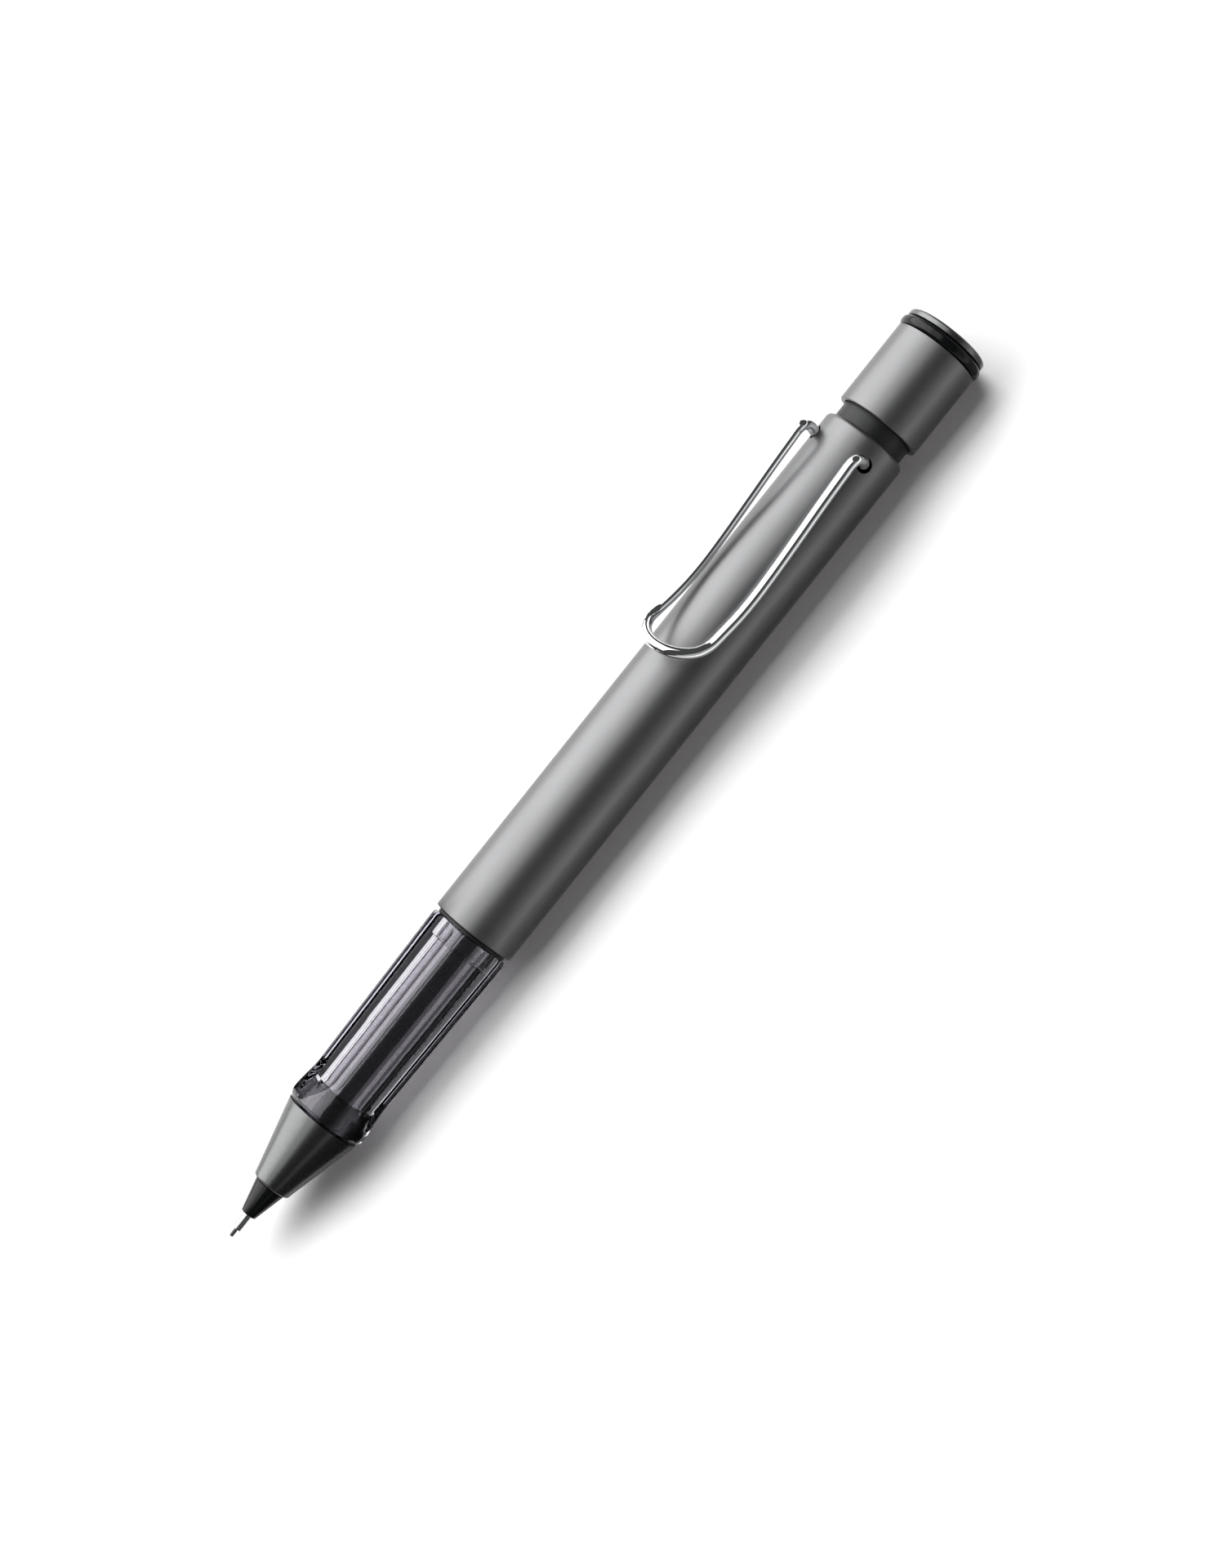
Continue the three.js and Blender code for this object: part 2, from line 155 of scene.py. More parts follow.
def smooth(bm):
    """Smooth shading, with the edges between clearly different faces kept sharp."""
    bm.normal_update()
    for face in bm.faces:
        face.smooth = True
    for edge in bm.edges:
        if len(edge.link_faces) == 2 and edge.calc_face_angle(0.0) > SHARP:
            edge.smooth = False


def to_mesh(name, bm):
    """The finished mesh, with every face pointing out."""
    bmesh.ops.recalc_face_normals(bm, faces=bm.faces)
    if bm.calc_volume(signed=True) < 0:
        bmesh.ops.reverse_faces(bm, faces=bm.faces)
    smooth(bm)
    mesh = bpy.data.meshes.new(name)
    bm.to_mesh(mesh)
    bm.free()
    return mesh


def turned(outline, sides, limit=None):
    """Solid of revolution of an outline that closes on itself or starts and ends on the axis.

    limit(station, angle, radius) gives the radius to use there."""
    bm = bmesh.new()
    rings = []
    for station, radius in outline:
        if radius < ON_AXIS:
            rings.append([bm.verts.new(at(station, 0))] * sides)
            continue
        ring = []
        for k in range(sides):
            angle = 360 * k / sides
            allowed = radius if limit is None else limit(station, angle, radius)
            ring.append(bm.verts.new(at(station, allowed, angle)))
        rings.append(ring)
    if outline[0][1] > ON_AXIS:
        rings.append(rings[0])
    for ring, following in zip(rings, rings[1:]):
        for k in range(sides):
            j = (k + 1) % sides
            corners = dict.fromkeys((ring[k], ring[j], following[j], following[k]))
            if len(corners) > 2:
                bm.faces.new(list(corners))
    return bm


def dome(end, radius, direction, steps=4):
    """Shrinking sections (centre, tangent, across, size) that round off a wire's end section."""
    centre, tangent, across, _ = end
    sections = []
    for k in range(1, steps):
        angle = math.radians(90 * k / steps)
        place = centre + tangent * direction * radius * math.sin(angle)
        sections.append((place, tangent, across, radius * math.cos(angle)))
    return sections


def swept(points, radius, sides):
    """Round wire along points, with domed ends."""
    bm = bmesh.new()
    padded = [points[0], *points, points[-1]]
    tangents = [(after - before).normalized() for before, after in zip(padded, padded[2:])]
    side = tangents[0].orthogonal().normalized()
    sections = []
    for point, tangent in zip(points, tangents):
        side = (side - tangent * side.dot(tangent)).normalized()
        sections.append((point, tangent, side.copy(), radius))
    first, last = sections[0], sections[-1]
    rings = []
    for centre, tangent, across, size in dome(first, radius, -1)[::-1] + sections + dome(last, radius, 1):
        up = tangent.cross(across)
        ring = []
        for k in range(sides):
            turn = 2 * math.pi * k / sides
            ring.append(bm.verts.new(centre + (across * math.cos(turn) + up * math.sin(turn)) * size))
        rings.append(ring)
    for ring, following in zip(rings, rings[1:]):
        for k in range(sides):
            j = (k + 1) % sides
            bm.faces.new((ring[k], ring[j], following[j], following[k]))
    for ring, end_point in (
        (rings[0], first[0] - first[1] * radius),
        (rings[-1], last[0] + last[1] * radius),
    ):
        end = bm.verts.new(end_point)
        for k in range(sides):
            bm.faces.new((ring[k], ring[(k + 1) % sides], end))
    return bm


def drilled(mesh, cutters):
    """The mesh with the cutters' shapes taken out of it."""
    work = bpy.data.objects.new("drill_work", mesh)
    bpy.context.scene.collection.objects.link(work)
    tools = []
    for cutter in cutters:
        tool = bpy.data.objects.new("drill_tool", cutter)
        bpy.context.scene.collection.objects.link(tool)
        modifier = work.modifiers.new("drill", "BOOLEAN")
        modifier.operation = "DIFFERENCE"
        modifier.solver = "EXACT"
        modifier.object = tool
        tools.append(tool)
    depsgraph = bpy.context.evaluated_depsgraph_get()
    result = bpy.data.meshes.new_from_object(work.evaluated_get(depsgraph))
    for thing in [work, *tools]:
        bpy.data.objects.remove(thing)
    bm = bmesh.new()
    bm.from_mesh(result)
    return to_mesh(mesh.name + "_drilled", bm)


def catmull_rom(points, steps):
    """Points on a centripetal Catmull-Rom curve through the given ones."""
    ends = [points[0] * 2 - points[1], *points, points[-1] * 2 - points[-2]]
    found = []
    for p0, p1, p2, p3 in zip(ends, ends[1:], ends[2:], ends[3:]):
        t0 = 0.0
        t1 = t0 + (p1 - p0).length ** 0.5
        t2 = t1 + (p2 - p1).length ** 0.5
        t3 = t2 + (p3 - p2).length ** 0.5
        for k in range(steps):
            t = lerp(t1, t2, k / steps)
            a1 = p0.lerp(p1, (t - t0) / (t1 - t0))
            a2 = p1.lerp(p2, (t - t1) / (t2 - t1))
            a3 = p2.lerp(p3, (t - t2) / (t3 - t2))
            b1 = a1.lerp(a2, (t - t0) / (t2 - t0))
            b2 = a2.lerp(a3, (t - t1) / (t3 - t1))
            found.append(b1.lerp(b2, (t - t1) / (t2 - t1)))
    return [*found, points[-1]]


# ---- materials ----
NOISE_LOW, NOISE_HIGH = 0.3, 0.7


class Nodes:
    """Short names for building a node material round one Principled shader."""

    def __init__(self, name):
        self.material = bpy.data.materials.new(name)
        self.material.use_nodes = True
        self.tree = self.material.node_tree
        self.shader = self.tree.nodes["Principled BSDF"]
        self.place = self.add("ShaderNodeTexCoord").outputs["Object"]

    def add(self, kind, **settings):
        node = self.tree.nodes.new(kind)
        for key, value in settings.items():
            setattr(node, key, value)
        return node

    def link(self, output, socket):
        self.tree.links.new(output, socket)

    def set(self, **values):
        for key, value in values.items():
            self.shader.inputs[key.replace("_", " ")].default_value = value

    def stretched(self, scale):
        """Object coordinates scaled by (x, y, z), in repeats per millimetre."""
        mapping = self.add("ShaderNodeMapping")
        mapping.inputs["Scale"].default_value = [s / MM for s in scale]
        self.link(self.place, mapping.inputs["Vector"])
        return mapping.outputs["Vector"]

    def noise(self, scale, detail=3.0, roughness=0.55):
        texture = self.add("ShaderNodeTexNoise")
        texture.inputs["Scale"].default_value = 1.0
        texture.inputs["Detail"].default_value = detail
        texture.inputs["Roughness"].default_value = roughness
        self.link(self.stretched(scale), texture.inputs["Vector"])
        return texture.outputs["Fac"]

    def between(self, fac, low, high):
        """Number that runs from low to high as a noise texture does over its usual range."""
        node = self.add("ShaderNodeMapRange")
        node.inputs["From Min"].default_value = NOISE_LOW
        node.inputs["From Max"].default_value = NOISE_HIGH
        node.inputs["To Min"].default_value = low
        node.inputs["To Max"].default_value = high
        self.link(fac, node.inputs["Value"])
        return node.outputs["Result"]

    def colours(self, fac, first, second):
        mix = self.add("ShaderNodeMix", data_type="RGBA")
        mix.inputs["A"].default_value = (*first, 1)
        mix.inputs["B"].default_value = (*second, 1)
        self.link(self.between(fac, 0, 1), mix.inputs["Factor"])
        self.link(mix.outputs["Result"], self.shader.inputs["Base Color"])

    def bump(self, height, distance):
        """Surface relief that is distance millimetres deep."""
        node = self.add("ShaderNodeBump")
        node.inputs["Distance"].default_value = distance * MM
        node.inputs["Strength"].default_value = 1.0
        self.link(height, node.inputs["Height"])
        self.link(node.outputs["Normal"], self.shader.inputs["Normal"])


def shade(colour, factor):
    return tuple(channel * factor for channel in colour)


def metal(name, colour, roughness, grain, variation=0.06, depth=0.002):
    """Metal whose grain (repeats per millimetre along X, Y and Z) shows in roughness and surface."""
    n = Nodes(name)
    n.set(Metallic=1.0)
    broad = n.noise((0.05, 0.25, 0.25), 2)
    fine = n.noise(grain, 4, 0.65)
    n.colours(broad, shade(colour, 1 - variation), shade(colour, 1 + variation))
    n.link(n.between(fine, roughness * 0.88, roughness * 1.12), n.shader.inputs["Roughness"])
    n.bump(fine, depth)
    return n.material


def plastic(name, colour, roughness, grain=(6, 6, 6), depth=0.003, gloss=0.5):
    """Moulded plastic or rubber: a faint uneven sheen and a fine surface."""
    n = Nodes(name)
    n.set(IOR=1.5, Specular_IOR_Level=gloss)
    fine = n.noise(grain, 3)
    n.colours(n.noise((0.3, 0.3, 0.3), 2), shade(colour, 0.92), shade(colour, 1.1))
    n.link(n.between(fine, roughness * 0.9, roughness * 1.12), n.shader.inputs["Roughness"])
    n.bump(fine, depth)
    return n.material


def clear_plastic(name, tint, density, roughness=0.03):
    """Smoked clear plastic that darkens with depth (density per metre), with slight flow lines."""
    n = Nodes(name)
    n.set(IOR=1.5, Transmission_Weight=1.0)
    flow = n.noise((0.06, 0.5, 0.5), 2)
    n.colours(flow, shade(tint, 0.97), shade(tint, 1.03))
    haze = n.noise((1.5, 1.5, 1.5), 2)
    n.link(n.between(haze, roughness * 0.7, roughness * 1.4), n.shader.inputs["Roughness"])
    n.bump(flow, 0.0004)
    smoke = n.add("ShaderNodeVolumeAbsorption")
    smoke.inputs["Color"].default_value = (0.1, 0.08, 0.16, 1)
    smoke.inputs["Density"].default_value = density
    n.link(smoke.outputs["Volume"], n.tree.nodes["Material Output"].inputs["Volume"])
    return n.material


ANODISED = metal("satin_anodised_aluminium", (0.185, 0.186, 0.188), 0.42, (7, 7, 7), depth=0.0016)
CHROME = metal("polished_chrome", (0.82, 0.83, 0.84), 0.04, (1.5, 4, 4), 0.02, 0.0004)
NOSE_METAL = metal("satin_dark_metal", (0.14, 0.143, 0.143), 0.29, (9, 1, 1), depth=0.0012)
STEEL = metal("drawn_steel", (0.5, 0.505, 0.51), 0.22, (0.5, 14, 14), depth=0.0008)
CORE_METAL = metal("dark_plated_metal", (0.195, 0.19, 0.205), 0.2, (0.5, 10, 10), depth=0.0004)
SPIGOT_METAL = metal("dark_spigot_metal", (0.075, 0.073, 0.08), 0.24, (9, 1, 1), depth=0.0006)
BRASS = metal("turned_brass", (0.60, 0.42, 0.17), 0.25, (12, 0.6, 0.6), depth=0.001)
BLACK = plastic("satin_black_plastic", (0.012, 0.0125, 0.013), 0.38, gloss=0.29)
GLOSS_BLACK = plastic("gloss_black_plastic", (0.004, 0.0045, 0.005), 0.17, (2, 2, 2), 0.001, gloss=0.24)
DISC_GREY = metal("grey_cap_disc", (0.15, 0.152, 0.153), 0.3, (5, 1, 1), depth=0.001)
TANK_PLASTIC = plastic("milky_tank_plastic", (0.42, 0.43, 0.44), 0.35)
RUBBER = plastic("black_rubber", (0.012, 0.012, 0.012), 0.75)
ERASER_WHITE = plastic("white_eraser", (0.78, 0.78, 0.75), 0.8, (4, 4, 4), 0.012)
GRAPHITE = plastic("graphite_lead", (0.03, 0.031, 0.034), 0.32, (6, 14, 14), 0.002)
SMOKED = clear_plastic("smoked_clear_plastic", (0.92, 0.91, 0.94), 58)

# ---- barrel, neck and coupler ----
BARREL_FRONT, BARREL_REAR = span("barrel_tube")
BARREL_FRONT_RADIUS, BARREL_RADIUS, BARREL_BORE = 5.66, 5.7, 5.0
SHOULDER = 0.66
NECK_RADIUS, NECK_BORE = 4.9, 3.5
FLANGE_FRONT, FLANGE_REAR = 47.1, 47.5
FLANGE_RADIUS, THREAD_RADIUS, COUPLER_RADIUS = 5.0, 4.88, 2.95
COUPLER_BORE, COUPLER_REAR_BORE = 2.7, 3.6
COUPLER_STEP = (49.1, 49.5)  # stations between which the coupler's bore widens
HOLE_STATION = 121.35
HOLE_ANGLE = 46.5
HOLE_RADIUS = 0.95
HOLE_FLARE = 0.06            # the cutters widen by this much on their way out
CUTTER_REACH = 0.6           # and end this far outside the barrel


def clip_drills(start_radius):
    """Cutters for the two clip holes, from a radius inside the wall to outside the barrel."""
    meshes = []
    for side in (-1, 1):
        inner = at(HOLE_STATION, start_radius, side * HOLE_ANGLE)
        outer = at(HOLE_STATION, BARREL_RADIUS + CUTTER_REACH, side * HOLE_ANGLE)
        bm = bmesh.new()
        bmesh.ops.create_cone(
            bm, cap_ends=True, segments=48, depth=(outer - inner).length,
            radius1=HOLE_RADIUS * MM, radius2=(HOLE_RADIUS + HOLE_FLARE) * MM,
        )
        turn = Vector((0, 0, 1)).rotation_difference(outer - inner)
        bm.transform(turn.to_matrix().to_4x4())
        bmesh.ops.translate(bm, verts=bm.verts, vec=(inner + outer) / 2)
        meshes.append(to_mesh("clip_drill", bm))
    return meshes


def barrel():
    corners = [
        (BARREL_FRONT, BARREL_FRONT_RADIUS, 0.16), (HOLE_STATION - 2, BARREL_RADIUS, 0),
        (BARREL_REAR, BARREL_RADIUS, SHOULDER), (BARREL_REAR, BARREL_BORE, 0.03),
        (BARREL_FRONT, BARREL_BORE, 0.1),
    ]
    bm = turned(rounded(corners, 7), SHELL_SIDES)
    mesh = drilled(to_mesh("barrel", bm), clip_drills(BARREL_BORE - 0.4))
    new_piece("barrel_shell", mesh, "holder", ANODISED, "satin_aluminium", "barrel_tube")


def neck():
    front, rear = span("neck_bush")
    corners = [
        (front, NECK_RADIUS, 0.2), (rear, NECK_RADIUS, 0.2),
        (rear, NECK_BORE, 0.15), (front, NECK_BORE, 0.15),
    ]
    mesh = drilled(to_mesh("neck", turned(rounded(corners), SHELL_SIDES)), clip_drills(NECK_BORE + 0.45))
    new_piece("neck_insert", mesh, "holder", BLACK, "black_plastic", "neck_bush")


def coupler():
    front, rear = span("section_coupler")
    corners = [
        (front, COUPLER_RADIUS, 0.12), (FLANGE_FRONT, COUPLER_RADIUS, 0),
        (FLANGE_FRONT, FLANGE_RADIUS, 0.05), (FLANGE_REAR, FLANGE_RADIUS, 0.05),
        (FLANGE_REAR, THREAD_RADIUS, 0), (rear, THREAD_RADIUS, 0.2),
        (rear, COUPLER_REAR_BORE, 0.1), (COUPLER_STEP[1], COUPLER_REAR_BORE, 0),
        (COUPLER_STEP[0], COUPLER_BORE, 0), (front, COUPLER_BORE, 0.05),
    ]
    mesh = to_mesh("coupler", turned(rounded(corners), SHELL_SIDES))
    piece = new_piece("threaded_coupler", mesh, "holder", CORE_METAL, "steel", "section_coupler")
    # The flange and thread faces are painted black: painted shade for the shadowed gap between the barrel
    # and the grip.
    repaint(piece, BLACK, lambda station, radius: station > FLANGE_FRONT - 0.01)


# ---- grip ----
GRIP_FRONT, GRIP_REAR = span("grip_section")
FLARE, WAIST = 19.3, 23.8
FLARE_RADIUS, WAIST_RADIUS, GRIP_REAR_RADIUS = 5.43, 5.06, 5.52
REAR_EDGE = 0.35             # length of the rounded rear edge
RIDGE_ANGLE, FLAT_SPREAD = 32, 51
FLAT_DEPTH, FLAT_END_DEPTH = 0.875, 1.02     # distance from the axis, as a share of the grip's radius
FLAT_RUN_OUT, FLAT_HALF_WIDTH, FLAT_HOLLOW = 23.4, 29, 0.012
FLAT_REACH = 80              # no flat cuts further round the grip than this
RIDGE_SOFTNESS = 0.08
CORE_STEP, CORE_RADIUS, CORE_REAR_RADIUS = 31.3, 2.48, 2.58
CORE_SIDES = 144
COLLAR_STATION, COLLAR_RADIUS = 44.5, 3.05   # the wider end of the grip's bore, round the coupler
POCKET_REAR, SPIGOT_RADIUS = 22.1, 3.4       # and the pocket for the nose cone's spigot
SEATED = 0.004               # the clear wall reaches this far into the spigot, so no air shows between them
BORE_CLEARANCE = 0.04
BORE, REAR_BORE = CORE_RADIUS + BORE_CLEARANCE, CORE_REAR_RADIUS + BORE_CLEARANCE


def grip_radius(station):
    """Radius of the grip where no flat cuts it."""
    if station > WAIST:
        return lerp(WAIST_RADIUS, GRIP_REAR_RADIUS, (station - WAIST) / (GRIP_REAR - WAIST))
    return lerp(WAIST_RADIUS, FLARE_RADIUS, smoothstep(WAIST + FLARE - station, FLARE, WAIST))


def grip_limit(station, angle, radius):
    """Round grip cut by two slightly hollow flats, with softened edges between them."""
    run_out = smoothstep(FLAT_RUN_OUT + GRIP_FRONT - station, GRIP_FRONT, FLAT_RUN_OUT)
    depth = lerp(FLAT_DEPTH, FLAT_END_DEPTH, run_out) * grip_radius(max(station, FLARE))
    allowed = radius
    for side in (-1, 1):
        off = (angle - RIDGE_ANGLE - side * FLAT_SPREAD + 180) % 360 - 180
        if abs(off) > FLAT_REACH:
            continue
        hollow = 1 - FLAT_HOLLOW * max(0.0, 1 - (off / FLAT_HALF_WIDTH) ** 2)
        flat = depth * hollow / math.cos(math.radians(off))
        blend = max(0.0, 1 - abs(allowed - flat) / RIDGE_SOFTNESS)
        allowed = min(allowed, flat) - blend * blend * RIDGE_SOFTNESS / 4
    return allowed


def grip():
    steps = 90
    along = [lerp(FLARE, GRIP_REAR - REAR_EDGE, (k / steps) ** 1.4) for k in range(steps + 1)]
    outside = [(station, grip_radius(station), 0) for station in along]
    corners = [
        (GRIP_FRONT, FLARE_RADIUS - 0.3, 0.12), (GRIP_FRONT + 0.4, FLARE_RADIUS - 0.02, 0), *outside,
        (GRIP_REAR, GRIP_REAR_RADIUS - 0.2, 0.15), (GRIP_REAR, COLLAR_RADIUS, 0.1),
        (COLLAR_STATION, COLLAR_RADIUS, 0.1), (COLLAR_STATION, REAR_BORE, 0), (CORE_STEP, REAR_BORE, 0),
        (CORE_STEP, BORE, 0), (POCKET_REAR, BORE, 0), (POCKET_REAR, SPIGOT_RADIUS - SEATED, 0),
        (GRIP_FRONT, SPIGOT_RADIUS - SEATED, 0),
    ]
    mesh = to_mesh("grip", turned(rounded(corners), GRIP_SIDES, grip_limit))
    new_piece("clear_grip", mesh, "holder", SMOKED, "smoked_clear", "grip_section")


# ---- front end ----
NOSE_SHOULDER, NOSE_REAR = 8.7, 18.2
NOSE_FRONT_RADIUS, NOSE_SHOULDER_RADIUS, NOSE_REAR_RADIUS = 2.56, 2.735, 5.12
NOSE_BORE, NOSE_REAR_BORE, NOSE_BORE_STEP = 1.98, 2.65, 14.3
TIP_REAR, TIP_FRONT_RADIUS, TIP_REAR_RADIUS = 7.75, 1.02, 2.09
SHANK_RADIUS = 1.9
CHAMBER_FRONT, CHAMBER_RADIUS = 10.9, 1.65
RETAINER_FRONT, RETAINER_RADIUS = 9.1, 1.0
TIP_BORE = 0.62
PIPE_RADIUS, PIPE_BORE = 0.575, 0.33
LEAD_RADIUS = 0.25
MECHANISM_STEP, MECHANISM_FRONT_BORE, MECHANISM_BORE = 17.3, 2.0, 2.25


def nose():
    front, rear_spigot = span("nose_cone")
    corners = [
        (front, NOSE_BORE, 0.02), (front, NOSE_FRONT_RADIUS, 0.3), (NOSE_SHOULDER, NOSE_SHOULDER_RADIUS, 0),
        (NOSE_REAR, NOSE_REAR_RADIUS, 0.12), (NOSE_REAR, SPIGOT_RADIUS, 0),
        (rear_spigot, SPIGOT_RADIUS, 0.2), (rear_spigot, NOSE_REAR_BORE, 0.1),
        (NOSE_BORE_STEP, NOSE_REAR_BORE, 0), (NOSE_BORE_STEP, NOSE_BORE, 0),
    ]
    mesh = to_mesh("nose", turned(rounded(corners, 8), SHELL_SIDES))
    piece = new_piece("nose_shell", mesh, "holder", NOSE_METAL, "dark_metal", "nose_cone")
    bore = NOSE_REAR_BORE + 0.01
    repaint(piece, SPIGOT_METAL, lambda station, radius: station > NOSE_REAR and radius > bore)


def tip():
    front, shank_rear = span("tip_cone")
    corners = [
        (front, TIP_BORE, 0.03), (front, TIP_FRONT_RADIUS, 0.2), (TIP_REAR, TIP_REAR_RADIUS, 0.06),
        (TIP_REAR, SHANK_RADIUS, 0), (shank_rear, SHANK_RADIUS, 0.1), (shank_rear, CHAMBER_RADIUS, 0.05),
        (CHAMBER_FRONT, CHAMBER_RADIUS, 0), (CHAMBER_FRONT, RETAINER_RADIUS, 0),
        (RETAINER_FRONT, RETAINER_RADIUS, 0), (RETAINER_FRONT, TIP_BORE, 0),
    ]
    mesh = to_mesh("tip", turned(rounded(corners, 8), SHELL_SIDES))
    new_piece("tip_shell", mesh, "holder", GLOSS_BLACK, "gloss_black", "tip_cone")


def lead_pipe():
    front, rear = span("lead_pipe")
    corners = [
        (front, PIPE_BORE, 0.03), (front, PIPE_RADIUS, 0.1),
        (rear, PIPE_RADIUS, 0.03), (rear, PIPE_BORE, 0.03),
    ]
    mesh = to_mesh("pipe", turned(rounded(corners), INNER_SIDES))
    new_piece("lead_sleeve", mesh, "holder", STEEL, "steel", "lead_pipe")


def lead_stick(name, node, body):
    front, rear = span(node)
    low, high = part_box(node)
    corners = [(front, 0, 0), (front, LEAD_RADIUS, 0.14), (rear, LEAD_RADIUS, 0.04), (rear, 0, 0)]
    bm = turned(rounded(corners), LEAD_SIDES)
    bmesh.ops.translate(bm, verts=bm.verts, vec=(0, (low.y + high.y) / 2, (low.z + high.z) / 2 - AXIS_Z))
    new_piece(name, to_mesh(name, bm), body, GRAPHITE, "graphite", node)


def mechanism():
    front, rear = span("mechanism_tube")
    corners = [
        (front, CORE_RADIUS, 0.15), (CORE_STEP, CORE_RADIUS, 0), (CORE_STEP, CORE_REAR_RADIUS, 0.06),
        (rear, CORE_REAR_RADIUS, 0.15), (rear, MECHANISM_BORE, 0.05), (MECHANISM_STEP, MECHANISM_BORE, 0),
        (MECHANISM_STEP, MECHANISM_FRONT_BORE, 0), (front, MECHANISM_FRONT_BORE, 0.05),
    ]
    mesh = to_mesh("mechanism", turned(rounded(corners), CORE_SIDES))
    new_piece("mechanism_sleeve", mesh, "holder", CORE_METAL, "steel", "mechanism_tube")


# ---- cap ----
BEAD_FRONT, BEAD_REAR, BEAD_RADIUS = 138.42, 139.86, 5.92
PLUG_FRONT, PLUG_RADIUS = 136.9, 3.42        # the solid end of the core
CORE_BODY_RADIUS = 4.9
RECESS_STATION, RECESS_RADIUS = 139.55, 4.6  # the core's recess for the disc
DISC_SEAT_RADIUS, DISC_RIM, DISC_RADIUS = 4.5, 139.95, 5.62


def cap_sleeve():
    front, rear = span("cap_sleeve")
    corners = [
        (front, BARREL_RADIUS, 0.2), (rear, BARREL_RADIUS, 0.06), (rear, BARREL_BORE, 0.05),
        (front, BARREL_BORE, 0.12),
    ]
    mesh = to_mesh("sleeve", turned(rounded(corners, 7), SHELL_SIDES))
    new_piece("cap_shell", mesh, "cap", ANODISED, "satin_aluminium", "cap_sleeve")


def cap_core():
    front = span("cap_core")[0]
    corners = [
        (PLUG_FRONT, 0, 0), (PLUG_FRONT, PLUG_RADIUS, 0.2), (front, PLUG_RADIUS, 0.15),
        (front, CORE_BODY_RADIUS, 0.2), (BEAD_FRONT, CORE_BODY_RADIUS, 0), (BEAD_FRONT, BEAD_RADIUS, 0.62),
        (BEAD_REAR, BEAD_RADIUS, 0.62), (BEAD_REAR, RECESS_RADIUS, 0), (RECESS_STATION, RECESS_RADIUS, 0),
        (RECESS_STATION, 0, 0),
    ]
    mesh = to_mesh("core", turned(rounded(corners, 8), SHELL_SIDES))
    new_piece("cap_core_bead", mesh, "cap", GLOSS_BLACK, "black_plastic", "cap_core")


def cap_disc():
    front, rear = span("cap_end_disc")
    corners = [
        (front, 0, 0), (front, DISC_SEAT_RADIUS, 0.05), (DISC_RIM, DISC_SEAT_RADIUS, 0),
        (DISC_RIM, DISC_RADIUS, 0.14), (rear, DISC_RADIUS, 0.42), (rear, 0, 0),
    ]
    mesh = to_mesh("disc", turned(rounded(corners, 8), SHELL_SIDES))
    new_piece("cap_disc", mesh, "cap", DISC_GREY, "grey_disc", "cap_end_disc")


# ---- eraser and tank ----
TANK_RADIUS, TANK_BORE = 2.1, 1.7
SOCKET_RADIUS, SOCKET_BORE, TANK_SEAT_RADIUS = 3.3, 2.7, 2.2
TANK_SEAT_REAR, SOCKET_FLOOR = 121, 122
CUP_RADIUS, CUP_RIM_RADIUS, CUP_RIM_FRONT, CUP_BORE, CUP_FLOOR = 2.6, 3.2, 132.6, 2.25, 127
ERASER_RADIUS = 2.15
NEEDLE_RADIUS, NEEDLE_POINT, NEEDLE_BORE = 0.2, 1.2, 0.25


def tank_parts():
    front, rear = span("lead_tank")
    corners = [
        (front, TANK_RADIUS, 0.1), (rear, TANK_RADIUS, 0.1),
        (rear, TANK_BORE, 0.1), (front, TANK_BORE, 0.1),
    ]
    mesh = to_mesh("tank", turned(rounded(corners), INNER_SIDES))
    new_piece("tank_tube", mesh, "plunger", TANK_PLASTIC, "tank_plastic", "lead_tank")
    front, rear = span("tank_socket")
    corners = [
        (front, SOCKET_RADIUS, 0.3), (rear, SOCKET_RADIUS, 0.3), (rear, SOCKET_BORE, 0.15),
        (SOCKET_FLOOR, SOCKET_BORE, 0), (SOCKET_FLOOR, TANK_BORE, 0), (TANK_SEAT_REAR, TANK_BORE, 0),
        (TANK_SEAT_REAR, TANK_SEAT_RADIUS, 0), (front, TANK_SEAT_RADIUS, 0.1),
    ]
    mesh = to_mesh("socket", turned(rounded(corners), SHELL_SIDES))
    new_piece("tank_socket_shell", mesh, "plunger", BLACK, "black_plastic", "tank_socket")


def eraser_parts():
    front, rear = span("eraser_holder")
    corners = [
        (front, CUP_RADIUS, 0.15), (CUP_RIM_FRONT, CUP_RADIUS, 0), (CUP_RIM_FRONT, CUP_RIM_RADIUS, 0.1),
        (rear, CUP_RIM_RADIUS, 0.2), (rear, CUP_BORE, 0.1), (CUP_FLOOR, CUP_BORE, 0),
        (CUP_FLOOR, NEEDLE_BORE, 0), (front, NEEDLE_BORE, 0.05),
    ]
    mesh = to_mesh("holder", turned(rounded(corners), SHELL_SIDES))
    new_piece("eraser_cup", mesh, "eraser_unit", STEEL, "steel", "eraser_holder")
    front, rear = span("eraser")
    corners = [(front, 0, 0), (front, ERASER_RADIUS, 0.1), (rear, ERASER_RADIUS, 0.55), (rear, 0, 0)]
    mesh = to_mesh("eraser", turned(rounded(corners, 8), INNER_SIDES))
    new_piece("eraser_stick", mesh, "eraser_unit", ERASER_WHITE, "eraser_white", "eraser")
    front, rear = span("cleaning_needle")
    corners = [
        (front, 0, 0), (front + NEEDLE_POINT, NEEDLE_RADIUS, 1.5), (rear, NEEDLE_RADIUS, 0), (rear, 0, 0),
    ]
    mesh = to_mesh("needle", turned(rounded(corners), LEAD_SIDES))
    new_piece("needle_wire", mesh, "eraser_unit", STEEL, "steel", "cleaning_needle")


